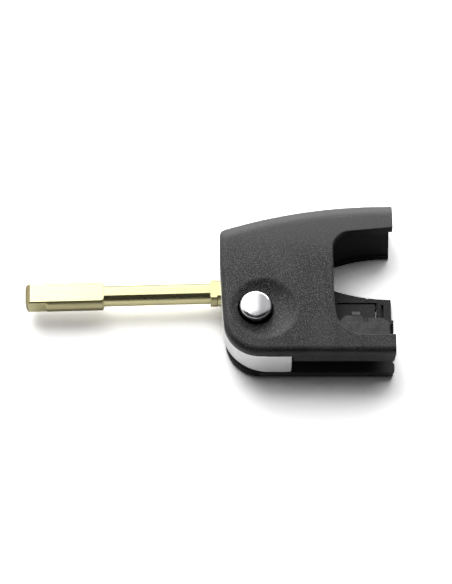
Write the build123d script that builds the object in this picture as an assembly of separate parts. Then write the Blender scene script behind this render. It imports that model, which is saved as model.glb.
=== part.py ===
from build123d import *

import math
import os

# Flip key head: a moulded housing that a round blade swings out of, with a socket for a remote unit.
# Millimetres. The release button's axis is X = 0, Y = 0 and the housing's back face is Z = 0.
# The blade points along -X when it is out, the socket opens along +X and the far edge is +Y.

os.makedirs("parts", exist_ok=True)

# Housing outline, seen from above: the left wall is straight and then leans in below its knee
head_height = 12.9
head_right = 29.88
head_front = 10.85
left_wall = 7.75
left_knee = 11.6
left_knee_radius = 100.0
left_slant = 3.55
front_corner_radius = 7.8
far_reach = 26.12
far_reach_at = 28.4
far_radius = 109.6

# Housing edges
shoulder_radius = 4.0
far_underside_radius = 2.5
top_edge_radius = 1.35
back_edge_radius = 0.9

# Shell walls
parting = 8.1
wall = 1.6
roof = 2.5
deck = 2.5
inner_wall = 1.2
seat_gap = 0.05
lower_left_step = 0.4
lower_shortening = 0.18
upper_end_draft = 0.25
end_nose_reach = 0.3
end_nose_width = 1.8
end_nose_height = 1.25
end_nose_at = 9.4
end_nose_round = 0.3

# Socket for the remote unit, its edge in the roof
socket_left = 16.85
socket_arm_edge_left = 17.95
socket_arm_edge_right = 19.2
socket_arm_corner = 4.0
socket_bow_start = 5.1
socket_bow_radius = 60.0
socket_front_corner = 5.9
socket_front_edge = 6.6
socket_lip = 1.9
socket_recess = 0.35
socket_edge_round = 0.35

# Ledge that the remote unit's cover lies on, with a lower strip along its inner edge
ledge_drop = 1.0
ledge_shortening = 1.18
strip_drop = 0.3
strip_front = 3.3
strip_inner_left = 1.65
strip_inner = 2.25
strip_start = 19.09
strip_start_slope = 0.7
strip_step_from = 22.6
strip_step_to = 23.0
strip_bevel_at = 27.3
strip_bevel_slope = 0.93
notch_width = 0.33
notch_pitch = 0.62
notch_at = 23.63

# Socket below the roof
plate = 1.7
arm_shortening = 0.2
arm_end_lean = 0.4
socket_wall_front = 2.45
slot_wall_saving = 0.2
mouth_radius = 36.0
mouth_front = 7.4
mouth_arm = 18.4
liner_top_rise = 1.15

# Latch tongue, rib and slot on the socket's plate
tongue_left = 17.9
tongue_right = 26.55
tongue_front = 0.4
tongue_back = 6.6
groove = 0.35
groove_depth = 0.9
relief_at = 24.38
relief_width = 0.25
relief_depth = 0.35
end_gap_back = 5.55
detent_at_x = 22.0
detent_at_y = 3.9
detent_length = 1.8
detent_width = 1.0
detent_height = 0.55
detent_foot = 0.15
rib_width = 0.45
rib_height = 0.7
rib_round = 0.15
rib_gap = 0.25
tab_slot_width = 0.45
tab_slot_gap = 0.35
tab_slot_depth = 1.2
tab_slot_back = 6.1

# Thumb dish and button hole
dish_at_x = 1.9
dish_at_y = -0.5
dish_radius = 7.1
dish_depth = 1.6
dish_rim_round = 1.5
hole_radius = 3.85

# Pivot stack
chamber_radius = 13.5
swing_clearance = 0.2
carrier_side_gap = 0.3
carrier_roof_gap = 0.15
carrier_proud = 0.1
carrier_corner_radius = 9.8
carrier_back_corner_radius = 1.3
carrier_front_corner_radius = 0.4
carrier_edge = 0.25
journal_radius = 4.6
journal_length = 1.45
running_clearance = 0.05
cap_radius = 5.6
cap_thickness = 1.2
cap_fit = 0.02
cap_spigot_radius = 1.3
cap_spigot_height = 1.6
cap_ring_radius = 3.6
cap_ring_width = 0.4
cap_ring_depth = 0.3

# Release button
button_radius = 3.45
button_top = 14.2
button_dome = 0.35
button_rim_radius = 0.95
button_wall = 0.95
button_crown = 1.5
button_skirt_low = 6.4
button_travel = 2.0
lug_length = 1.25
lug_width = 2.0
lug_low = 9.4
lug_height = 1.2
lug_clearance = 0.15

# Flip spring
spring_wire = 0.6
spring_radius = 1.95
spring_pitch = 1.45
spring_side_gap = 0.3

# Blade
blade_height = 5.4
blade_offset = 7.13
blade_lean = 1.65
nose_end = 50.0
nose_length = 4.3
nose_width = 4.65
nose_round = 1.4
nose_corner_radius = 0.85
bit_length = 12.8
bit_diameter = 6.1
bit_thickness = 4.45
bit_end_radius = 0.65
shank_diameter = 4.5
shank_thickness = 4.14
collar_length = 1.58
collar_diameter = 5.78
collar_thickness = 4.16
collar_chamfer = 0.2
collar_seat = 8.2
boss_diameter = 5.7
boss_thickness = 4.6
tang_length = 10.0
tang_diameter = 4.2
tang_thickness = 3.4
tang_clearance = 0.06

# Roll pin
pin_radius = 0.8
pin_bore = 0.4
pin_slit = 0.35
pin_at = 3.4
pin_fit = 0.02
pin_inset = 0.3

# Carrier's core pocket
core_wall = 1.3
core_roof = 1.5
core_corner_radius = 0.65

# Locating pins that join the shells
dowel_radius = 0.8
dowel_depth = 3.0
dowel_fit = 0.05
dowel_boss = 1.7
dowel_places = [(-4.6, 15.8), (14.4, 16.9), (24.6, 22.4)]

# Transponder chip
chip_length = 10.0
chip_width = 4.0
chip_height = 2.8
chip_corner_radius = 0.45
chip_at_x = 3.6
chip_at_y = 17.9
chip_turn = 12.0
chip_clearance = 0.15
cradle_wall = 0.7
cradle_height = 2.0

# Reach of the cutting tools past what they cut, and of joined forms into each other
over = 10.0
overlap = 1.0

# How near a point of an edge lies to the curve that it is looked for on
near = 0.01
near_wall = 0.1

slant = math.tan(math.radians(left_slant))


def left_wall_x(y, inset=0.0):
    """X of the left wall at a given Y, moved inwards by inset."""
    if y > left_knee:
        return inset - left_wall
    return inset / math.cos(math.radians(left_slant)) - left_wall + (left_knee - y) * slant


def outline(inset=0.0, left_inset=None, corner_radius=None):
    """The housing's plan without its far edge: right end, front, rounded corner and left wall."""
    if left_inset is None:
        left_inset = inset
    if corner_radius is None:
        corner_radius = front_corner_radius - inset
    front = inset - head_front
    far = far_reach + over
    corner = (left_wall_x(front, left_inset), front)
    knee = (left_inset - left_wall, left_knee + left_inset * math.tan(math.radians(left_slant) / 2))
    face = Polygon(
        (head_right - inset, front),
        corner,
        knee,
        (left_inset - left_wall, far),
        (head_right - inset, far),
        align=None,
    )
    at_knee = face.vertices().sort_by_distance(Vector(*knee))[0]
    face = fillet(at_knee, left_knee_radius)
    at_corner = face.vertices().sort_by_distance(Vector(*corner))[0]
    return fillet(at_corner, corner_radius)


def far_disc(inset, low, high, upper_radius, lower_radius):
    """A disc whose rim is the far edge: a shallow arc in plan with rounded shoulders."""
    rim = far_radius - inset
    profile = Polygon((0, low), (rim, low), (rim, high), (0, high), align=None)
    top = profile.vertices().sort_by_distance(Vector(rim, high))[0]
    profile = fillet(top, upper_radius)
    if lower_radius > 0:
        bottom = profile.vertices().sort_by_distance(Vector(rim, low))[0]
        profile = fillet(bottom, lower_radius)
    disc = revolve(Plane.XZ * profile, Axis.Z)
    return Pos(far_reach_at, far_reach - far_radius, 0) * disc


def slab(low, high):
    """All the space between two heights, as far as the housing reaches."""
    size = 4 * far_reach
    return Pos(0, 0, low) * Box(size, size, high - low, align=(Align.CENTER, Align.CENTER, Align.MIN))


def prism(face, low, high):
    """A plan face raised between two heights."""
    return Pos(0, 0, low) * extrude(face, high - low, dir=(0, 0, 1))


def round_bar(radius, low, high, x=0.0, y=0.0):
    """An upright cylinder between two heights."""
    return Pos(x, y, low) * Cylinder(radius, high - low, align=(Align.CENTER, Align.CENTER, Align.MIN))


def block(x0, x1, y0, y1, z0, z1):
    """A box given by its limits."""
    return Pos(x0, y0, z0) * Box(x1 - x0, y1 - y0, z1 - z0, align=(Align.MIN, Align.MIN, Align.MIN))


def end_cut(low_x, low, high_x, high, y0, y1):
    """The space to the right of a leaning end, given by its X at two heights."""
    far = head_right + over
    face = Polygon((low_x, low), (high_x, high), (far, high), (far, low), align=None)
    return Pos(0, y0, 0) * extrude(Plane.XZ * face, y1 - y0, dir=(0, 1, 0))


def on_left_wall(edge, left_inset):
    """Whether an edge bounds the left wall, apart from the upright seams inside it."""
    points = [edge @ t for t in (0.0, 0.5, 1.0)]
    in_wall = all(abs(p.X - left_wall_x(p.Y, left_inset)) < near_wall for p in points)
    upright = abs(points[0].Y - points[2].Y) < near
    seam = upright and points[1].Y < (left_knee + far_reach) / 2
    return in_wall and not seam


def on_front_rim(edge):
    """Whether an edge runs along the front or the rounded corner, at the top or the back face."""
    middle = edge @ 0.5
    level = abs(middle.Z) < near or abs(middle.Z - head_height) < near
    return level and middle.Y < 0 and middle.X < head_right - near


def housing(left_inset, edge_radius):
    """The closed outer form that a shell is a part of, with its edges rounded."""
    disc = far_disc(0.0, 0.0, head_height, shoulder_radius, far_underside_radius)
    form = prism(outline(0.0, left_inset), -over, head_height + over) & disc
    rims = [edge for edge in form.edges() if on_left_wall(edge, left_inset) or on_front_rim(edge)]
    return fillet(rims, edge_radius)


def hollow(low, high):
    """The space inside the outer walls between two heights."""
    inner_shoulder = shoulder_radius - wall
    inner = far_disc(wall, low, high, inner_shoulder, 0.0)
    return prism(outline(wall), low - over, high + over) & inner


def socket_outline():
    """The C-shaped edge of the socket in the roof, open past the right end."""
    end = head_right + over
    rise = (socket_arm_edge_right - socket_arm_edge_left) / (head_right - socket_left)
    arm_end = socket_arm_edge_right + rise * over
    drop = socket_bow_start + socket_front_edge
    turn = math.degrees(math.asin((drop - socket_front_corner) / (socket_bow_radius - socket_front_corner)))
    arm = FilletPolyline(
        (end, arm_end),
        (socket_left, socket_arm_edge_left),
        (socket_left, socket_bow_start),
        radius=socket_arm_corner,
    )
    bow = JernArc((socket_left, socket_bow_start), (0, -1), socket_bow_radius, turn)
    corner = JernArc(bow @ 1, bow % 1, socket_front_corner, 90 - turn)
    front = Line(corner @ 1, (end, -socket_front_edge))
    close = Line((end, -socket_front_edge), (end, arm_end))
    return make_face([*arm.edges(), bow, corner, front, close])


def beyond(y):
    """The half of the plan past a given Y."""
    size = 4 * far_reach
    return Pos(0, y + size / 2) * Rectangle(2 * size, size)


def ledge_plan():
    """The part of the socket's plan that the ledge and its lower strip cover."""
    start_low = strip_inner_left + (strip_start - socket_left) / strip_start_slope
    bevel_low = strip_inner + (head_right - strip_bevel_at) * strip_bevel_slope
    return Polygon(
        (socket_left, -start_low),
        (strip_start, -strip_inner_left),
        (strip_step_from, -strip_inner_left),
        (strip_step_to, -strip_inner),
        (strip_bevel_at, -strip_inner),
        (head_right, -bevel_low),
        (head_right + over, -bevel_low),
        (head_right + over, -head_front),
        (socket_left, -head_front),
        align=None,
    )


def socket_hole():
    """The socket's plan in the roof, clear of the ledge."""
    return socket_outline() - ledge_plan()


def socket_pocket():
    """The socket's plan below the roof, set back from the roof's edge."""
    return offset(socket_outline(), socket_recess) & beyond(-socket_wall_front)


def socket_band():
    """The pocket's plan with its wall added."""
    return offset(socket_outline(), socket_recess + inner_wall) & beyond(-slot_inner_face())


def slot_inner_face():
    """How far in front of the pivot the blade slot's inner wall stands."""
    return socket_wall_front + inner_wall - slot_wall_saving


def plate_right():
    """X of the lower shell's right end."""
    return head_right - lower_shortening


def mouth():
    """The through opening in the plate: two shallow arcs that draw together towards the pivot."""
    front = Pos(plate_right(), mouth_front + mouth_radius) * Circle(mouth_radius)
    arm = Pos(plate_right(), mouth_arm - mouth_radius) * Circle(mouth_radius)
    return front & arm


def carrier_top():
    """Height of the carrier's upper face, just under the roof."""
    return head_height - roof - carrier_roof_gap


def carrier_bottom():
    """Height of the carrier's lower face, just over the deck."""
    return deck + carrier_side_gap


def dish():
    """The ball that sinks the thumb dish, a shallow bowl round the button."""
    radius = (dish_radius**2 + dish_depth**2) / (2 * dish_depth)
    return Pos(dish_at_x, dish_at_y, head_height - dish_depth + radius) * Sphere(radius)


def on_dish_rim(edge):
    """Whether an edge of the upper shell is the dish's rim in the top face."""
    points = [edge @ t for t in (0.0, 0.25, 0.5, 0.75)]
    reaches = [math.hypot(p.X - dish_at_x, p.Y - dish_at_y) for p in points]
    level = all(abs(p.Z - head_height) < near for p in points)
    return level and all(abs(reach - dish_radius) < near for reach in reaches)


def on_socket_edge(edge):
    """Whether an edge of the upper shell runs along the socket's edge in the top face."""
    points = [edge @ t for t in (0.0, 0.5, 1.0)]
    level = all(abs(p.Z - head_height) < near for p in points)
    right_end = all(p.X > head_right - near for p in points)
    inside = points[1].X > socket_left - near and -socket_front_edge - near < points[1].Y
    return level and inside and not right_end


def make_upper_shell():
    """The moulded top: roof, far shoulder, left edge, dish, button hole and the socket's ledge."""
    ledge = head_height - ledge_drop
    shell = housing(0.0, top_edge_radius) - dish()
    shell = fillet([edge for edge in shell.edges() if on_dish_rim(edge)], dish_rim_round)
    shell &= slab(parting, head_height + over)
    shell -= hollow(parting - over, head_height - roof)
    shell -= round_bar(chamber_radius, 0, head_height - roof)
    shell -= prism(socket_hole(), 0, head_height + over)
    shell -= prism(socket_outline(), ledge, head_height + over)
    shell -= prism(socket_outline() & beyond(-strip_front), ledge - strip_drop, head_height + over)
    shell -= prism(offset(socket_band(), seat_gap), 0, head_height - socket_lip)
    shell -= block(
        head_right - ledge_shortening,
        head_right + over,
        -socket_front_edge,
        0,
        0,
        head_height + over,
    )
    shell -= end_cut(
        head_right - upper_end_draft,
        parting,
        head_right,
        head_height - top_edge_radius,
        -head_front - over,
        0,
    )
    shell = fillet([edge for edge in shell.edges() if on_socket_edge(edge)], socket_edge_round)
    for side in (-0.5, 0.5):
        middle = notch_at + side * notch_pitch
        shell -= block(
            middle - notch_width / 2,
            middle + notch_width / 2,
            -strip_front,
            0,
            0,
            head_height + over,
        )
    shell -= round_bar(hole_radius, 0, head_height + over)
    groove_radius = button_radius + lug_length + lug_clearance
    shell -= round_bar(groove_radius, 0, lug_low + lug_height + lug_clearance)
    for x, y in dowel_places:
        shell += round_bar(dowel_radius, parting - dowel_depth, head_height - roof, x, y)
    return shell


def latch_features():
    """What stands up from the socket's plate: the tongue's ramped detent and the rib beside it."""
    back = detent_at_y + detent_width / 2
    front = detent_at_y - detent_width / 2
    low = plate - rib_height
    ramp = Polygon(
        (back, low),
        (back, plate + detent_foot),
        (front, plate + detent_height),
        (front, low),
        align=None,
    )
    detent_left = detent_at_x - detent_length / 2
    detent = Pos(detent_left, 0, 0) * extrude(Plane.YZ * ramp, detent_length, dir=(1, 0, 0))
    rib_left = tongue_right + rib_gap
    rib = block(rib_left, rib_left + rib_width, tongue_front, tongue_back, low, plate + rib_height)
    rib = fillet(rib.edges().group_by(Axis.Z)[-1], rib_round)
    return detent, rib


def latch_cuts():
    """The grooves that free the tongue, the relief at its root and the slot for the remote unit's tab."""
    depth = plate - groove_depth
    back = block(tongue_left, tongue_right, tongue_back - groove, tongue_back, depth, plate + over)
    end_left = tongue_right - groove
    end = block(end_left, tongue_right, tongue_front, tongue_back, depth, plate + over)
    end_gap = block(end_left, tongue_right, tongue_front, end_gap_back, -over, plate + over)
    relief = block(
        relief_at,
        relief_at + relief_width,
        tongue_back - groove,
        mouth_front + overlap,
        plate - relief_depth,
        plate + over,
    )
    slot_left = tongue_right + rib_gap + rib_width + tab_slot_gap
    slot_low = plate - tab_slot_depth
    slot = block(slot_left, slot_left + tab_slot_width, tongue_front, tab_slot_back, slot_low, plate + over)
    return back, end, end_gap, relief, slot


def arm_liner():
    """The arm's inner wall, leaning from the mouth's edge at the back face to the roof's edge."""
    left = socket_left - socket_recess
    right = plate_right()
    deep = mouth_arm + inner_wall * 2

    def curve_y(x):
        return mouth_arm - mouth_radius + math.sqrt(mouth_radius**2 - (right - x) ** 2)

    def section(rise, z):
        middle = (left + right) / 2
        arc = ThreePointArc(
            (left, curve_y(left) + rise),
            (middle, curve_y(middle) + rise),
            (right, curve_y(right) + rise),
        )
        sides = Polyline(arc @ 1, (right, deep), (left, deep), arc @ 0)
        return Pos(0, 0, z) * make_face([arc, *sides.edges()])

    top = head_height - socket_lip - seat_gap
    leaning = loft([section(0.0, 0.0), section(liner_top_rise, top)], ruled=True)
    return leaning & prism(socket_band(), 0, top)


def end_nose():
    """A small rounded nose at the right end of the blade slot's floor."""
    right = plate_right()
    front = -end_nose_at - end_nose_width / 2
    back = -end_nose_at + end_nose_width / 2
    nose = block(right - overlap, right + end_nose_reach, front, back, deck - end_nose_height, deck)
    outer = nose.edges().filter_by(Axis.Z).group_by(Axis.X)[-1]
    return fillet(outer, end_nose_round)


def chip_place():
    """Takes a form at the origin to the transponder chip's place on the deck."""
    return Pos(chip_at_x, chip_at_y, deck) * Rot(0, 0, chip_turn)


def chip_cradle():
    """Four low walls round the transponder chip."""
    length = chip_length + 2 * chip_clearance
    width = chip_width + 2 * chip_clearance
    walls = 2 * cradle_wall
    align = (Align.CENTER, Align.CENTER, Align.MIN)
    outside = Box(length + walls, width + walls, cradle_height, align=align)
    inside = Box(length, width, cradle_height, align=align)
    return chip_place() * (outside - inside)


def make_lower_shell():
    """The moulded bottom: deck, blade slot, chamber ring, the socket's plate and walls, and the arm."""
    riser_top = head_height - socket_lip - seat_gap
    right = plate_right()
    arm_right = right - arm_shortening
    form = housing(lower_left_step, back_edge_radius)
    tray = (form & slab(0, parting)) - hollow(deck, parting + over)
    ring = prism(Circle(chamber_radius + inner_wall), deck - overlap, parting)
    ring &= hollow(deck - overlap, parting)
    band = prism(socket_band(), 0, riser_top) & block(0, arm_right, -head_front, far_reach, 0, riser_top)
    shell = tray + ring + (band & (form & slab(0, riser_top)))
    shell += chip_cradle()
    for x, y in dowel_places:
        shell += round_bar(dowel_boss, deck - overlap, parting, x, y)
    shell -= round_bar(chamber_radius, deck, parting + over)
    shell -= block(0, head_right + over, -head_front - over, -slot_inner_face(), deck, parting + over)
    shell -= prism(socket_pocket(), plate, head_height)
    shell -= prism(mouth() & socket_pocket(), -over, head_height)
    shell += arm_liner()
    shell -= block(right, head_right + over, -head_front, far_reach, -over, head_height)
    shell -= end_cut(arm_right, 0, arm_right - arm_end_lean, riser_top, mouth_arm - overlap, far_reach)
    for feature in latch_features():
        shell += feature
    for cut in latch_cuts():
        shell -= cut
    for x, y in dowel_places:
        shell -= round_bar(dowel_radius + dowel_fit, parting - dowel_depth - dowel_fit, head_height, x, y)
    shell -= round_bar(journal_radius + running_clearance, 0, deck + overlap)
    shell -= round_bar(cap_radius + cap_fit, -over, cap_thickness)
    return shell + end_nose()


def turned(shape):
    """The shape turned half a turn about the pivot."""
    return Rot(0, 0, 180) * shape


def blade_place():
    """Takes a bar that lies along X through the origin to the blade's place."""
    pivot = Pos(-pin_at, blade_offset, blade_height)
    return pivot * Rot(0, 0, blade_lean) * Pos(pin_at, 0, 0)


def flat_bar(x0, x1, diameter, thickness):
    """A round bar along X with a flat above and below."""
    bar = Pos((x0 + x1) / 2, 0, 0) * Rot(0, 90, 0) * Cylinder(diameter / 2, x1 - x0)
    return bar & Box(4 * nose_end, 2 * diameter, thickness)


def carrier_plan():
    """The carrier's plan, within the housing's outline also after half a turn, and clear of the chamber."""
    plan = outline(0.0, -carrier_proud, carrier_corner_radius)
    plan = plan & turned(plan)
    back_corner = plan.vertices().sort_by_distance(Vector(-left_wall, head_front))[0]
    plan = fillet(back_corner, carrier_back_corner_radius)
    front_corner = plan.vertices().sort_by_distance(Vector(left_wall, -head_front))[0]
    plan = fillet(front_corner, carrier_front_corner_radius)
    return plan & Circle(chamber_radius - swing_clearance)


def make_blade_carrier():
    """The die casting that turns about the pivot, with the boss that the blade's collar seats on."""
    low = carrier_bottom()
    high = carrier_top()
    plan = carrier_plan()
    body = prism(plan, low, high)
    rims = body.edges().group_by(Axis.Z)
    body = fillet(rims[0] + rims[-1], carrier_edge)
    body += round_bar(journal_radius, deck - journal_length + carrier_side_gap, low + overlap)
    boss = flat_bar(-collar_seat, overlap - left_wall, boss_diameter, boss_thickness)
    body += blade_place() * boss
    bore_low = button_skirt_low - button_travel - lug_clearance
    body -= round_bar(button_radius + running_clearance, bore_low, high + overlap)
    body -= round_bar(spring_radius + spring_wire / 2 + spring_side_gap, 0, high)
    lug_reach = button_radius + lug_length + lug_clearance
    lug_slot = block(
        -lug_width / 2 - lug_clearance,
        lug_width / 2 + lug_clearance,
        -lug_reach,
        lug_reach,
        lug_low - button_travel - lug_clearance,
        high + overlap,
    )
    body -= lug_slot & round_bar(lug_reach, 0, high + overlap)
    tang_hole = flat_bar(
        -2 * collar_seat,
        tang_length - collar_seat + tang_clearance,
        tang_diameter + 2 * tang_clearance,
        tang_thickness + 2 * tang_clearance,
    )
    body -= blade_place() * tang_hole
    body -= round_bar(pin_radius + pin_fit, low - overlap, high + overlap, -pin_at, blade_offset)
    core_front = head_front - core_wall
    core_side = journal_radius + core_corner_radius
    core = block(-core_side, core_side, -core_front, -core_side, low - overlap, high - core_roof)
    core = fillet(core.edges().filter_by(Axis.Z), core_corner_radius)
    core &= prism(offset(plan, -core_wall), low - overlap, high)
    return body - core


def make_key_blade():
    """The round blade: tang, collar, shank, bit and a nose with flat sides and a rounded tip."""
    bit_left = -nose_end + nose_length
    shank_left = bit_left + bit_length
    collar_left = -collar_seat - collar_length
    nose = flat_bar(-nose_end, bit_left + overlap, bit_diameter, bit_thickness)
    side_view = Pos(-nose_end / 2, 0) * Rectangle(nose_end, bit_thickness)
    side_view = fillet(side_view.vertices().group_by(Axis.X)[0], nose_round)
    plan_view = Pos(-nose_end / 2, 0) * Rectangle(nose_end, nose_width)
    plan_view = fillet(plan_view.vertices().group_by(Axis.X)[0], nose_corner_radius)
    nose &= extrude(Plane.XZ * side_view, nose_width, both=True)
    nose &= extrude(plan_view, bit_thickness, both=True)
    bit = flat_bar(bit_left, shank_left, bit_diameter, bit_thickness)
    bit = fillet(bit.edges().filter_by(GeomType.CIRCLE), bit_end_radius)
    shank = flat_bar(shank_left - overlap, collar_left + overlap, shank_diameter, shank_thickness)
    collar = flat_bar(collar_left, -collar_seat, collar_diameter, collar_thickness)
    collar = chamfer(collar.edges().filter_by(GeomType.CIRCLE), collar_chamfer)
    tang = flat_bar(-collar_seat - overlap, tang_length - collar_seat, tang_diameter, tang_thickness)
    blade = blade_place() * (nose + bit + shank + collar + tang)
    return blade - round_bar(pin_radius + pin_fit, 0, head_height, -pin_at, blade_offset)


def make_blade_pin():
    """The slotted roll pin that holds the blade's tang."""
    low = carrier_bottom() + pin_inset
    high = carrier_top() - pin_inset
    pin = Circle(pin_radius) - Circle(pin_bore)
    pin -= Pos(0, -pin_radius) * Rectangle(pin_slit, 2 * pin_radius)
    return Pos(-pin_at, blade_offset, low) * extrude(pin, high - low, dir=(0, 0, 1))


def make_release_button():
    """The domed cap with its skirt, hollow for the spring, and two locking lugs."""
    rim = button_top - button_dome
    inner = button_radius - button_wall
    ceiling = button_top - button_crown
    dome_radius = (button_radius**2 + button_dome**2) / (2 * button_dome)
    half = button_radius / 2
    half_height = button_top - dome_radius + math.sqrt(dome_radius**2 - half**2)
    sides = Polyline(
        (0, button_top),
        (0, button_skirt_low),
        (button_radius, button_skirt_low),
        (button_radius, rim),
    )
    dome = ThreePointArc((button_radius, rim), (half, half_height), (0, button_top))
    profile = make_face([*sides.edges(), dome])
    rim_corner = profile.vertices().sort_by_distance(Vector(button_radius, rim))[0]
    profile = fillet(rim_corner, button_rim_radius)
    button = revolve(Plane.XZ * profile, Axis.Z)
    reach = button_radius + lug_length
    lugs = block(-lug_width / 2, lug_width / 2, -reach, reach, lug_low, lug_low + lug_height)
    button += lugs & round_bar(reach, 0, button_top)
    return button - round_bar(inner, 0, ceiling)


def make_flip_spring():
    """The spring that lifts the button and turns the carrier, without its end legs."""
    low = cap_thickness + spring_wire / 2 + seat_gap
    high = button_top - button_crown - spring_wire / 2 - seat_gap
    path = Helix(spring_pitch, high - low, spring_radius, center=(0, 0, low))
    section = Plane(origin=path @ 0, z_dir=path % 0) * Circle(spring_wire / 2)
    return sweep(section, path)


def make_spring_cap():
    """The cap that closes the pivot's bore from the back, with a spigot for the spring."""
    cap = round_bar(cap_radius, 0, cap_thickness)
    cap += round_bar(cap_spigot_radius, 0, cap_thickness + cap_spigot_height)
    ring = Circle(cap_ring_radius + cap_ring_width) - Circle(cap_ring_radius)
    return cap - prism(ring, -over, cap_ring_depth)


def make_transponder_chip():
    """The moulded immobiliser chip in its cradle."""
    chip = Box(chip_length, chip_width, chip_height, align=(Align.CENTER, Align.CENTER, Align.MIN))
    chip = fillet(chip.edges().filter_by(Axis.Z), chip_corner_radius)
    return chip_place() * Pos(0, 0, seat_gap) * chip


pieces = {
    "upper_shell": make_upper_shell,
    "lower_shell": make_lower_shell,
    "blade_carrier": make_blade_carrier,
    "key_blade": make_key_blade,
    "blade_pin": make_blade_pin,
    "release_button": make_release_button,
    "flip_spring": make_flip_spring,
    "spring_cap": make_spring_cap,
    "transponder_chip": make_transponder_chip,
}

for name, make in pieces.items():
    export_step(make(), f"parts/{name}.step")
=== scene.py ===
import math

import bmesh
import bpy
from mathutils import Matrix, Vector


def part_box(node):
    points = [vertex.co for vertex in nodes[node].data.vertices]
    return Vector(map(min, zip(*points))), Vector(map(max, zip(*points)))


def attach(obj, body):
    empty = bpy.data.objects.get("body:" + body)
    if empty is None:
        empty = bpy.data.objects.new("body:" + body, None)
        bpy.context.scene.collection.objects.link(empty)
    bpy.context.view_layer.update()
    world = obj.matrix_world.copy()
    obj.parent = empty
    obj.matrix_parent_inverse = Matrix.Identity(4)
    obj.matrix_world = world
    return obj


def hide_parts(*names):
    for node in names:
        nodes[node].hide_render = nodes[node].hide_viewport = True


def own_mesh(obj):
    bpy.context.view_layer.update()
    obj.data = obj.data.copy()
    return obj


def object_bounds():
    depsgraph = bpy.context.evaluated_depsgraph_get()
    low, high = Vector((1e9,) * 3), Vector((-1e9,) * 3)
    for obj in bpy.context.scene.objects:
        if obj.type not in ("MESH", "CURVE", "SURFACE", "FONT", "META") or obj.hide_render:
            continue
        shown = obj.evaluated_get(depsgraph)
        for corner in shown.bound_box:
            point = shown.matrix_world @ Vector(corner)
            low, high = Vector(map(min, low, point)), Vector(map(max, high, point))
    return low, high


# Looks of a flip key head with its blade out, lying on a white table under a large soft light.
# Metres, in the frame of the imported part: the button's axis is X = 0, Y = 0, and the back face is Z = 0.

MM = 0.001

# The photograph's view
IMAGE_HEIGHT_PX = 584
PIXELS_PER_MM = 4.6
VIEW_ELEVATION = math.radians(62.0)
VIEW_DISTANCE = 0.6
VIEW_TARGET = Vector((-6.37, 6.80, 6.45)) * MM
SENSOR_MM = 36.0
CLIP_START = 0.05
CLIP_END = 10.0

# White table, a hair below the key: its grey in plain light, to the camera and in metal
FLOOR_SIZE = 3.0
FLOOR_DROP = 0.01 * MM
FLOOR_COLOUR = 0.86
FLOOR_SEEN = 1.98
FLOOR_MIRRORED = 1.08

# The panel that the flat faces mirror, from left to right: the edges of each part of it, and its level
MIRRORED_PLACE = dict(elevation=57.0, distance=0.7, height=0.46)
MIRRORED_PARTS = [
    (-0.44, -0.38, 1.0),
    (-0.38, -0.32, 1.9),
    (-0.32, -0.10, 3.9),
    (-0.10, -0.06, 3.0),
    (-0.06, -0.03, 2.1),
    (-0.03, 0.0, 1.9),
    (0.0, 0.025, 1.4),
    (0.025, 0.05, 0.95),
    (0.05, 0.09, 0.65),
    (0.09, 0.28, 0.42),
]

# The other panels. An azimuth turns a panel clockwise round the key, seen from above
PANELS = {
    "key": dict(
        elevation=60.0, distance=1.0, left=-0.70, right=0.70, height=1.00, level=1.42, azimuth=-8.0,
        mirrored=False,
    ),
    "ceiling": dict(
        elevation=82.0, distance=0.9, left=-0.9, right=0.9, height=1.6, level=0.05, mirrored=False,
    ),
    "low_panel": dict(
        elevation=20.0, distance=1.0, left=-0.8, right=0.8, height=0.5, level=3.0,
    ),
    "right_panel": dict(
        elevation=35.0, distance=0.8, left=-0.4, right=0.4, height=0.5, level=0.05, azimuth=80.0,
    ),
}

# The room's level in plain light, and what metal mirrors of it, by the direction that it looks in
ROOM_LEVEL = 0.02
BACK_EDGE = (-0.15, 0.15)
BACK_LEVEL = 1.25
BACK_TOP = (0.45, 0.65)
BACK_TOP_SHARE = 0.04
LEFT_SIDE = (-0.46, -0.38)
LEFT_SIDE_LEVEL = 1.4
RIGHT_SIDE = (0.24, 0.32)
RIGHT_SIDE_LEVEL = 1.2
OVERHEAD_EDGE = (0.93, 0.985)
OVERHEAD_LEVEL = 0.45
FRONT_HORIZON = (0.02, 0.12)
FRONT_LOW_LEVEL = 1.35
FRONT_HIGH_LEVEL = 0.05
RIGHT_EDGE = (0.04, 0.16)
RIGHT_SHARE = 0.35
RIGHT_TINT = (0.97, 0.96, 1.0, 1.0)

# Black plastic. Its grain is fainter on walls and towards the far edge, where a painted sheen greys its
# colour, and the bright spots of its grain are painted glints, dimmed by painted shade in front
COLD_TOUCH = 0.03
GRAIN_UPWARD = (0.5, 0.97)
GRAIN_ON_WALLS = 0.3
GRAIN_FADES = (12 * MM, 22 * MM)
GRAIN_AT_FAR_EDGE = 0.4
PAINTED_SHEEN_RISES = (8 * MM, 24 * MM)
# Where painted shade dims the painted glints in front, and how much of them it leaves
PAINTED_SHADE_ON_GLINTS = (-10 * MM, 4 * MM)
GLINTS_IN_PAINTED_SHADE = 0.72
CELLS_PER_METRE = 4200.0
CELL_ROUGHNESS = 0.7
SHINING_CELLS = (0.50, 0.68)
FINE_PER_METRE = 9000.0
FINE_ROUGHNESS = 0.6
FINE_SHARE = 0.4
BLOTCH_LEVEL = 0.5
PLASTIC_SPREAD = 0.05
PLASTIC_EDGE = 0.12 * MM

# Metals: the noise of their lines and patches, and how round their edges look
LINE_DETAIL = 4.0
PATCH_DETAIL = 3.0
METAL_NOISE_ROUGHNESS = 0.6
METAL_EDGE = 0.08 * MM

# Where most of a noise lies, and the samples of a rounded edge
MIDDLE_OF_NOISE = (0.3, 0.7)
EDGE_SAMPLES = 4
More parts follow.
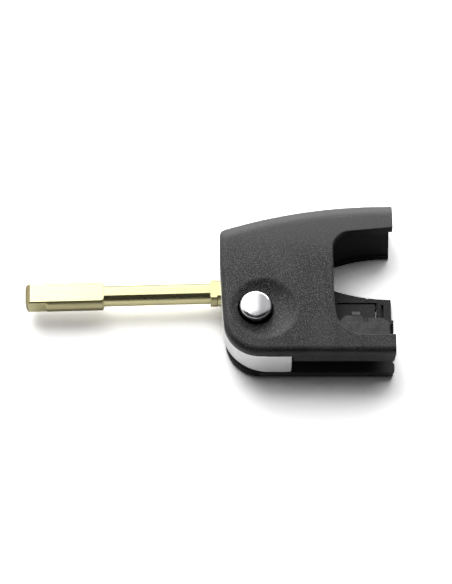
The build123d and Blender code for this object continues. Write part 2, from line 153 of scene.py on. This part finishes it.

# Each black plastic: its grey near the front, its grey at the far edge with painted sheen, the grey of its
# painted glints and blotches, and its grain and gloss
PLASTICS = {
    "grained_black": dict(
        near=0.007, far=0.085, speck=0.15, grain_depth=0.032 * MM, roughness=0.42, specular=0.32,
    ),
    "ledge_black": dict(
        near=0.012, far=0.030, speck=0.075, grain_depth=0.008 * MM, roughness=0.34, specular=0.5,
        blotches_per_metre=700.0, blotch_share=0.9,
    ),
    "plate_black": dict(
        near=0.010, far=0.024, speck=0.05, grain_depth=0.006 * MM, roughness=0.38, specular=0.3,
    ),
    # Smooth black for the shells' inner walls; also painted shade on the lower shell's corner under the
    # carrier, on the carrier's upper face under the roof and on the button's skirt
    "smooth_black_and_painted_shade": dict(
        near=0.005, far=0.005, speck=0.008, grain_depth=0.003 * MM, roughness=0.5, specular=0.12,
    ),
    # A lighter black that paints light into the blade's slot
    "slot_black_painted_light": dict(
        near=0.090, far=0.090, speck=0.10, grain_depth=0.003 * MM, roughness=0.5, specular=0.2,
    ),
    # A light grey that paints a highlight on the latch
    "latch_painted_highlight": dict(
        near=0.17, far=0.17, speck=0.24, grain_depth=0.008 * MM, roughness=0.30, specular=0.5,
    ),
    "chip_epoxy": dict(
        near=0.02, far=0.02, speck=0.03, grain_depth=0.004 * MM, roughness=0.30, specular=0.5,
    ),
}

# Each metal: its colour, the tint of its patches, its roughness, and how fine and deep its lines are
DRAWN_BRASS = dict(
    spread=0.05, line_depth=0.0006 * MM, lines_per_metre=(60, 4000, 4000), patches_per_metre=200.0,
)
METALS = {
    "satin_plating": dict(
        colour=(0.96, 0.96, 0.96, 1), tint=(0.93, 0.93, 0.94, 1), roughness=0.55, spread=0.05,
        line_depth=0.002 * MM, lines_per_metre=(900, 900, 1800), patches_per_metre=500.0,
    ),
    "pale_brass": dict(
        colour=(0.67, 0.625, 0.360, 1), tint=(0.63, 0.58, 0.305, 1), roughness=0.27, **DRAWN_BRASS,
    ),
    # Darker brasses that paint shade on the blade's nose, under its bit and on the sides of its bit and
    # collar
    "brass_painted_dark_shade": dict(
        colour=(0.30, 0.265, 0.14, 1), tint=(0.27, 0.235, 0.12, 1), roughness=0.32, **DRAWN_BRASS,
    ),
    "brass_painted_half_shade": dict(
        colour=(0.52, 0.48, 0.27, 1), tint=(0.48, 0.44, 0.24, 1), roughness=0.34, **DRAWN_BRASS,
    ),
    "chrome": dict(
        colour=(0.90, 0.90, 0.92, 1), tint=(0.88, 0.88, 0.91, 1), roughness=0.16, spread=0.02,
        line_depth=0.0001 * MM, lines_per_metre=(500, 500, 500), patches_per_metre=200.0,
    ),
    "spring_steel": dict(
        colour=(0.50, 0.50, 0.51, 1), tint=(0.42, 0.41, 0.41, 1), roughness=0.30, spread=0.08,
        line_depth=0.001 * MM, lines_per_metre=(900, 900, 900), patches_per_metre=400.0,
    ),
}

# The finishes of each CAD node, in the order of its material slots
NODE_FINISHES = {
    "upper_shell": ["grained_black", "ledge_black", "smooth_black_and_painted_shade", "slot_black_painted_light"],
    "lower_shell": ["grained_black", "plate_black", "smooth_black_and_painted_shade", "slot_black_painted_light", "latch_painted_highlight"],
    "spring_cap": ["grained_black"],
    "blade_carrier": ["satin_plating", "pale_brass", "smooth_black_and_painted_shade"],
    "key_blade": ["pale_brass", "brass_painted_dark_shade", "brass_painted_half_shade"],
    "blade_pin": ["spring_steel"],
    "flip_spring": ["spring_steel"],
    "release_button": ["chrome", "smooth_black_and_painted_shade"],
    "transponder_chip": ["chip_epoxy"],
}

# Where finishes meet on the shells
SURFACE_NEAR = 0.06 * MM
HOLE_RADIUS = 3.87 * MM
DISH_CENTRE = Vector((1.9, -0.5)) * MM
DISH_REACH = 8.4 * MM
DISH_DEPTH = 1.6 * MM
CORNER_CENTRE = Vector((0.97 * MM, -3.05 * MM))
CORNER_REACH = 7.0 * MM
FRONT_BAND = 0.9 * MM
LEFT_END = -5 * MM
FAR_SIDE = 14 * MM
RIGHT_END = 28.3 * MM
# The blade's slot, whose walls get painted light
SLOT_LEFT = 8.0 * MM
SLOT_BACK = -3.5 * MM
SLOT_TOP = 8.2 * MM
# The box round the latch, which gets a painted highlight
DETENT_LOW = (21.0 * MM, 3.3 * MM, 1.72 * MM)
DETENT_HIGH = (23.0 * MM, 4.5 * MM, 2.5 * MM)

# Which way a shell's face counts as facing, by its normal
FACES_FRONT = -0.1
FACES_LEFT = -0.3
FACES_FAR_SIDE = 0.1
FACES_RIGHT = 0.7
FACES_UP = 0.5
FACES_DOWN = -0.5

# Where finishes meet on the blade, its carrier and the button, and the normals at which they do
# The blade's nose, the underside of its bit and the sides of its bit and collar get painted shade
NOSE_RIGHT = -48.5 * MM
NOSE_TURNED = -0.2
BIT_LEFT = -45.6 * MM
BIT_RIGHT = -33.0 * MM
COLLAR_LEFT = -10.2 * MM
SIDE_BELOW = 0.8
DARK_SHADE_BELOW = 0.12
BLADE_AXIS_Y = 7.0 * MM
BLADE_AXIS_Z = 5.4 * MM
BOSS_LEFT = -8.1 * MM
BOSS_RIGHT = -7.0 * MM
BOSS_REACH = 3.0 * MM
BOSS_TURNED = 0.5
# The carrier's upper face under the roof and the button's skirt below the hole's edge get painted shade
CARRIER_TOP = 9.0 * MM
CARRIER_UPWARD = 0.7
BUTTON_SKIRT_TOP = 11.5 * MM

# Flip spring: its wire, its turns, the steps of each turn and the sides of its wire
SPRING_WIRE = 0.6 * MM
SPRING_TURNS = 7.45
SPRING_STEPS = 40
WIRE_SIDES = 12

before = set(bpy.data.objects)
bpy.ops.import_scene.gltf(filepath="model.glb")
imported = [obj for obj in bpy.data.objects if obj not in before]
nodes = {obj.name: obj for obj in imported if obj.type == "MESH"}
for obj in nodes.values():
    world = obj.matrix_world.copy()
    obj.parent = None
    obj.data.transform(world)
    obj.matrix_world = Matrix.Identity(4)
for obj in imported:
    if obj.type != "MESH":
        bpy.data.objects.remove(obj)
cad_low, cad_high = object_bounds()
shell_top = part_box("upper_shell")[1].z


class Tree:
    """The node tree of a material or a world, with calls that add a node and join its inputs."""

    def __init__(self, owner):
        owner.use_nodes = True
        self.nodes = owner.node_tree.nodes
        self.links = owner.node_tree.links
        self.nodes.clear()

    def add(self, kind, inputs=None, **settings):
        """Adds a node. Each input is set to a value, or joined to the socket that is given for it."""
        node = self.nodes.new("ShaderNode" + kind)
        for key, value in settings.items():
            setattr(node, key, value)
        for key, value in (inputs or {}).items():
            if isinstance(value, bpy.types.NodeSocket):
                self.links.new(value, node.inputs[key])
            else:
                node.inputs[key].default_value = value
        return node

    def noise(self, position, scale, detail=2.0, roughness=0.5):
        inputs = {"Vector": position, "Scale": scale, "Detail": detail, "Roughness": roughness}
        return self.add("TexNoise", inputs).outputs["Fac"]

    def remap(self, value, limits, to_low=0.0, to_high=1.0):
        """Takes a value smoothly from one pair of limits to another."""
        low, high = limits
        inputs = {"Value": value, "From Min": low, "From Max": high, "To Min": to_low, "To Max": to_high}
        return self.add("MapRange", inputs, interpolation_type="SMOOTHSTEP").outputs["Result"]

    def maths(self, operation, a, b):
        return self.add("Math", {0: a, 1: b}, operation=operation).outputs["Value"]

    def sum(self, a, b):
        return self.maths("ADD", a, b)

    def product(self, a, b):
        return self.maths("MULTIPLY", a, b)

    def larger(self, a, b):
        return self.maths("MAXIMUM", a, b)

    def rest(self, share):
        """What a share leaves of one."""
        return self.maths("SUBTRACT", 1.0, share)

    def mix(self, factor, a, b):
        """A colour between two. For colours, a Mix node has its inputs 6 and 7 and its output 2."""
        return self.add("Mix", {0: factor, 6: a, 7: b}, data_type="RGBA").outputs[2]

    def split(self, vector):
        return self.add("SeparateXYZ", {"Vector": vector}).outputs

    def mirrored(self, rays):
        """One for a ray that comes from a mirroring or clear surface, and nothing for any other."""
        return self.larger(rays["Is Glossy Ray"], rays["Is Transmission Ray"])

    def bumped(self, height, depth, strength, edge):
        """A normal that follows a height, with edges that look rounded."""
        rounded = self.add("Bevel", {"Radius": edge}, samples=EDGE_SAMPLES).outputs["Normal"]
        inputs = {"Strength": strength, "Distance": depth, "Height": height, "Normal": rounded}
        return self.add("Bump", inputs).outputs["Normal"]

    def show(self, kind, inputs):
        """Adds the shader that the material shows."""
        shader = self.add(kind, inputs)
        self.add("OutputMaterial", {"Surface": shader.outputs["BSDF"]})


def grey(level, blue=0.0):
    """An opaque grey, with a touch of blue."""
    return (level, level, level * (1 + blue), 1.0)


def make_plastic(
    name, near, far, speck, grain_depth, roughness, specular, blotches_per_metre=130.0, blotch_share=0.25
):
    """Moulded black plastic with a spark-eroded grain, smoother towards the far edge, where a painted sheen
    greys it, and with painted glints on its grain.
    """
    material = bpy.data.materials.new(name)
    tree = Tree(material)
    coordinates = tree.add("TexCoord").outputs
    position = coordinates["Object"]
    along_y = tree.split(position)["Y"]
    upward = tree.remap(tree.split(coordinates["Normal"])["Z"], GRAIN_UPWARD, GRAIN_ON_WALLS)
    strength = tree.product(upward, tree.remap(along_y, GRAIN_FADES, 1.0, GRAIN_AT_FAR_EDGE))
    painted_glint_level = tree.product(strength, tree.remap(along_y, PAINTED_SHADE_ON_GLINTS, GLINTS_IN_PAINTED_SHADE))

    cells = tree.noise(position, CELLS_PER_METRE, roughness=CELL_ROUGHNESS)
    fine = tree.noise(position, FINE_PER_METRE, roughness=FINE_ROUGHNESS)
    broad = tree.remap(tree.noise(position, blotches_per_metre), MIDDLE_OF_NOISE)
    height = tree.sum(cells, tree.product(fine, FINE_SHARE))

    # Painted sheen: the grey rises towards the far edge
    plain = tree.mix(tree.remap(along_y, PAINTED_SHEEN_RISES), grey(near, COLD_TOUCH), grey(far, COLD_TOUCH))
    mottled = tree.mix(tree.product(broad, blotch_share), plain, grey(speck * BLOTCH_LEVEL, COLD_TOUCH))
    # Painted glints: bright spots on the grain's cells, weaker on walls and at the far edge, and dimmed in
    # front by painted shade
    painted_glints = tree.product(tree.remap(cells, SHINING_CELLS), painted_glint_level)
    smoothest, roughest = roughness - PLASTIC_SPREAD, roughness + PLASTIC_SPREAD
    surface = {
        "Base Color": tree.mix(painted_glints, mottled, grey(speck, COLD_TOUCH)),
        "Roughness": tree.remap(fine, MIDDLE_OF_NOISE, smoothest, roughest),
        "Normal": tree.bumped(height, grain_depth, strength, PLASTIC_EDGE),
        "Specular IOR Level": specular,
    }
    tree.show("BsdfPrincipled", surface)
    return material


def make_metal(name, colour, tint, roughness, spread, line_depth, lines_per_metre, patches_per_metre):
    """A plated or drawn metal: fine lines or mottling in its bump, roughness and colour."""
    material = bpy.data.materials.new(name)
    tree = Tree(material)
    position = tree.add("TexCoord").outputs["Object"]
    stretched = tree.add("Mapping", {"Vector": position, "Scale": lines_per_metre}).outputs["Vector"]
    lines = tree.noise(stretched, 1.0, LINE_DETAIL, METAL_NOISE_ROUGHNESS)
    patches = tree.noise(position, patches_per_metre, PATCH_DETAIL, METAL_NOISE_ROUGHNESS)
    surface = {
        "Base Color": tree.mix(patches, colour, tint),
        "Metallic": 1.0,
        "Roughness": tree.remap(lines, MIDDLE_OF_NOISE, roughness - spread, roughness + spread),
        "Normal": tree.bumped(lines, line_depth, 1.0, METAL_EDGE),
    }
    tree.show("BsdfPrincipled", surface)
    return material


def make_finishes():
    """The finishes of the CAD nodes and of the spring's wire, by name."""
    finishes = {name: make_plastic(name, **values) for name, values in PLASTICS.items()}
    finishes.update({name: make_metal(name, **values) for name, values in METALS.items()})
    return finishes


def on_top_or_back(c):
    return c.z > shell_top - SURFACE_NEAR or c.z < SURFACE_NEAR


def in_dish(c, n):
    """Whether a face is in the thumb dish, outside the button's hole."""
    high = c.z > shell_top - DISH_DEPTH - SURFACE_NEAR
    near = (c.xy - DISH_CENTRE).length < DISH_REACH
    return high and near and n.z > FACES_UP and c.xy.length > HOLE_RADIUS


def on_corner(c):
    """Whether a face is on the wall of the round corner at the front left."""
    outside = (c.xy - CORNER_CENTRE).length > CORNER_REACH
    return c.x < CORNER_CENTRE.x and c.y < CORNER_CENTRE.y and outside


def on_outer_wall(c, n):
    """Whether a face is on the front, the left, the far side or the right of the head."""
    on_front = c.y < cad_low.y + FRONT_BAND and n.y < FACES_FRONT
    on_left = c.x < LEFT_END and n.x < FACES_LEFT
    on_far_side = c.y > FAR_SIDE and n.y > FACES_FAR_SIDE
    on_right = c.x > RIGHT_END and n.x > FACES_RIGHT
    return on_front or on_left or on_far_side or on_right


def shell_finish(face, on_flats):
    """A shell is grained outside, lighter in the blade's slot by painted light, and smooth on its other inner
    walls.
    """
    c, n = face.center, face.normal
    if on_top_or_back(c) or in_dish(c, n) or on_corner(c) or on_outer_wall(c, n):
        return "grained_black"
    if c.x > SLOT_LEFT and c.y < SLOT_BACK and c.z < SLOT_TOP:
        return "slot_black_painted_light"
    return on_flats if n.z > FACES_UP else "smooth_black_and_painted_shade"


def upper_shell_finish(face):
    return shell_finish(face, "ledge_black")


def lower_shell_finish(face):
    """The lower shell has a painted highlight on its latch, and painted shade in smooth black on its corner
    under the carrier.
    """
    c, n = face.center, face.normal
    if all(low < value < high for low, value, high in zip(DETENT_LOW, c, DETENT_HIGH)):
        return "latch_painted_highlight"
    if on_corner(c) and n.z > FACES_DOWN and not on_top_or_back(c):
        return "smooth_black_and_painted_shade"
    return shell_finish(face, "plate_black")


def blade_finish(face):
    """Polished brass, with painted shade: dark at the nose and under the bit, half dark on the bit's and the
    collar's sides.
    """
    c, n = face.center, face.normal
    if n.x < NOSE_TURNED and c.x < NOSE_RIGHT:
        return "brass_painted_dark_shade"
    on_side = n.z < SIDE_BELOW
    if on_side and c.x > COLLAR_LEFT:
        return "brass_painted_half_shade"
    if on_side and BIT_LEFT < c.x < BIT_RIGHT:
        return "brass_painted_dark_shade" if n.z < DARK_SHADE_BELOW else "brass_painted_half_shade"
    return "pale_brass"


def carrier_finish(face):
    """Satin, but brass on the boss, and painted shade in smooth black on the upper face under the roof."""
    c, n = face.center, face.normal
    from_blade = math.hypot(c.y - BLADE_AXIS_Y, c.z - BLADE_AXIS_Z)
    round_boss = c.x < BOSS_RIGHT and from_blade < BOSS_REACH and abs(n.x) < BOSS_TURNED
    if c.x < BOSS_LEFT or round_boss:
        return "pale_brass"
    return "smooth_black_and_painted_shade" if n.z > CARRIER_UPWARD and c.z > CARRIER_TOP else "satin_plating"


def button_finish(face):
    """Chrome, with painted shade in smooth black on the skirt below the hole's edge."""
    return "smooth_black_and_painted_shade" if face.center.z < BUTTON_SKIRT_TOP else "chrome"


def dress(finishes):
    """Every CAD node gets its finishes in place of its plain one, painted light and shade among them."""
    by_face = {
        "upper_shell": upper_shell_finish,
        "lower_shell": lower_shell_finish,
        "key_blade": blade_finish,
        "blade_carrier": carrier_finish,
        "release_button": button_finish,
    }
    for node_name, names in NODE_FINISHES.items():
        mesh = nodes[node_name].data
        mesh.materials.clear()
        for name in names:
            mesh.materials.append(finishes[name])
        if node_name in by_face:
            for face in mesh.polygons:
                face.material_index = names.index(by_face[node_name](face))


def spring_mesh(low, high):
    """A helix of round wire that fills a box round the button's axis."""
    wire = SPRING_WIRE / 2
    radius = high.x - wire
    start, rise = low.z + wire, high.z - low.z - 2 * wire
    slope = rise / (2 * math.pi * radius * SPRING_TURNS)
    steps = round(SPRING_TURNS * SPRING_STEPS)
    angles = [2 * math.pi * j / WIRE_SIDES for j in range(WIRE_SIDES)]
    mesh = bmesh.new()
    rings = []
    for i in range(steps + 1):
        turn = 2 * math.pi * i / SPRING_STEPS
        outward = Vector((math.cos(turn), math.sin(turn), 0))
        along = Vector((-math.sin(turn), math.cos(turn), slope)).normalized()
        upward = outward.cross(along)
        middle = outward * radius + Vector((0, 0, start + rise * i / steps))
        ring = [middle + (outward * math.cos(a) + upward * math.sin(a)) * wire for a in angles]
        rings.append([mesh.verts.new(point) for point in ring])
    for a, b in zip(rings, rings[1:]):
        for j in range(WIRE_SIDES):
            k = (j + 1) % WIRE_SIDES
            mesh.faces.new((a[j], a[k], b[k], b[j]))
    mesh.faces.new(rings[0])
    mesh.faces.new(rings[-1])
    bmesh.ops.recalc_face_normals(mesh, faces=mesh.faces)
    data = bpy.data.meshes.new("flip_spring_wire")
    mesh.to_mesh(data)
    mesh.free()
    data.shade_smooth()
    return data


def make_spring(steel):
    """The flip spring's wire as its own mesh on the housing, in place of the CAD spring."""
    low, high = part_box("flip_spring")
    data = spring_mesh(low, high)
    data.materials.append(steel)
    spring = bpy.data.objects.new("flip_spring_wire", data)
    bpy.context.scene.collection.objects.link(spring)
    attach(spring, "housing")
    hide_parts("flip_spring")
    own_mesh(spring)


def make_floor():
    """A white table top. Seen straight or in metal it is brighter than paper: only near shadows show."""
    material = bpy.data.materials.new("white_table")
    tree = Tree(material)
    rays = tree.add("LightPath").outputs
    unseen = tree.mix(tree.mirrored(rays), grey(FLOOR_COLOUR), grey(FLOOR_MIRRORED))
    tree.show("BsdfDiffuse", {"Color": tree.mix(rays["Is Camera Ray"], unseen, grey(FLOOR_SEEN))})
    bpy.ops.mesh.primitive_plane_add(size=FLOOR_SIZE, location=(0, 0, -FLOOR_DROP))
    floor = bpy.context.object
    floor.name = "table_top"
    floor.data.materials.append(material)


def room_in_metal(tree):
    """What metal mirrors: a bright back between two sides, low light in front, and a duller right."""
    towards = tree.split(tree.add("TexCoord").outputs["Generated"])
    left_side = tree.remap(towards["X"], LEFT_SIDE, 1.0, 0.0)
    right_side = tree.remap(towards["X"], RIGHT_SIDE)
    sides = tree.sum(tree.product(left_side, LEFT_SIDE_LEVEL), tree.product(right_side, RIGHT_SIDE_LEVEL))
    between = tree.rest(tree.larger(left_side, right_side))
    above = tree.remap(towards["Z"], BACK_TOP, BACK_LEVEL, BACK_LEVEL * BACK_TOP_SHARE)
    back = tree.sum(sides, tree.product(above, between))
    front = tree.remap(towards["Z"], FRONT_HORIZON, FRONT_LOW_LEVEL, FRONT_HIGH_LEVEL)
    is_back = tree.remap(towards["Y"], BACK_EDGE)
    around = tree.sum(tree.product(is_back, back), tree.product(front, tree.rest(is_back)))
    level = tree.sum(tree.remap(towards["Z"], OVERHEAD_EDGE, 0.0, OVERHEAD_LEVEL), around)
    duller = tree.remap(towards["X"], RIGHT_EDGE, 1.0, RIGHT_SHARE)
    tint = tree.mix(tree.remap(towards["X"], RIGHT_EDGE), grey(1.0), RIGHT_TINT)
    return tree.add("Background", {"Color": tint, "Strength": tree.product(level, duller)})


def make_world():
    """A dim room, white to the camera, and brighter where metal mirrors it."""
    world = bpy.data.worlds.new("studio")
    bpy.context.scene.world = world
    tree = Tree(world)
    rays = tree.add("LightPath").outputs
    in_metal = room_in_metal(tree)
    plain = tree.add("Background", {"Color": grey(1.0), "Strength": ROOM_LEVEL})
    white = tree.add("Background", {"Color": grey(1.0), "Strength": 1.0})
    unseen = tree.add("MixShader", {0: tree.mirrored(rays), 1: plain.outputs[0], 2: in_metal.outputs[0]})
    room = tree.add("MixShader", {0: rays["Is Camera Ray"], 1: unseen.outputs[0], 2: white.outputs[0]})
    tree.add("OutputWorld", {"Surface": room.outputs[0]})


def soft_panel(name, elevation, distance, left, right, height, level, azimuth=0.0, mirrored=True):
    """A soft box that faces the key, beyond its far edge or turned round it. Left and right are its edges."""
    data = bpy.data.lights.new(name, "AREA")
    data.shape = "RECTANGLE"
    data.size = right - left
    data.size_y = height
    data.energy = level * math.pi * data.size * data.size_y
    lamp = bpy.data.objects.new(name, data)
    bpy.context.scene.collection.objects.link(lamp)
    up = math.radians(elevation)
    turn = Matrix.Rotation(math.radians(-azimuth), 3, "Z")
    direction = turn @ Vector((0, math.cos(up), math.sin(up)))
    aside = turn @ Vector(((left + right) / 2, 0, 0))
    lamp.location = VIEW_TARGET + direction * distance + aside
    lamp.rotation_euler = direction.to_track_quat("Z", "Y").to_euler()
    lamp.visible_camera = False
    lamp.visible_glossy = mirrored


def make_lights():
    """A feathered panel is mirrored in the flats, a soft key light casts the shadows, three more fill in."""
    for left, right, level in MIRRORED_PARTS:
        soft_panel(f"mirrored_panel_{left}", left=left, right=right, level=level, **MIRRORED_PLACE)
    for name, values in PANELS.items():
        soft_panel(name, **values)


def make_camera():
    """The photograph's camera: a long lens that looks down on the key."""
    data = bpy.data.cameras.new("camera")
    data.sensor_width = SENSOR_MM
    data.lens = SENSOR_MM * PIXELS_PER_MM * (VIEW_DISTANCE / MM) / IMAGE_HEIGHT_PX
    data.clip_start = CLIP_START
    data.clip_end = CLIP_END
    camera = bpy.data.objects.new("camera", data)
    bpy.context.scene.collection.objects.link(camera)
    back = Vector((0, -math.cos(VIEW_ELEVATION), math.sin(VIEW_ELEVATION)))
    camera.location = VIEW_TARGET + back * VIEW_DISTANCE
    camera.rotation_euler = back.to_track_quat("Z", "Y").to_euler()
    bpy.context.scene.camera = camera


bpy.context.scene.view_settings.view_transform = "Standard"
materials = make_finishes()
dress(materials)
make_spring(materials["spring_steel"])
make_floor()
make_world()
make_lights()
make_camera()
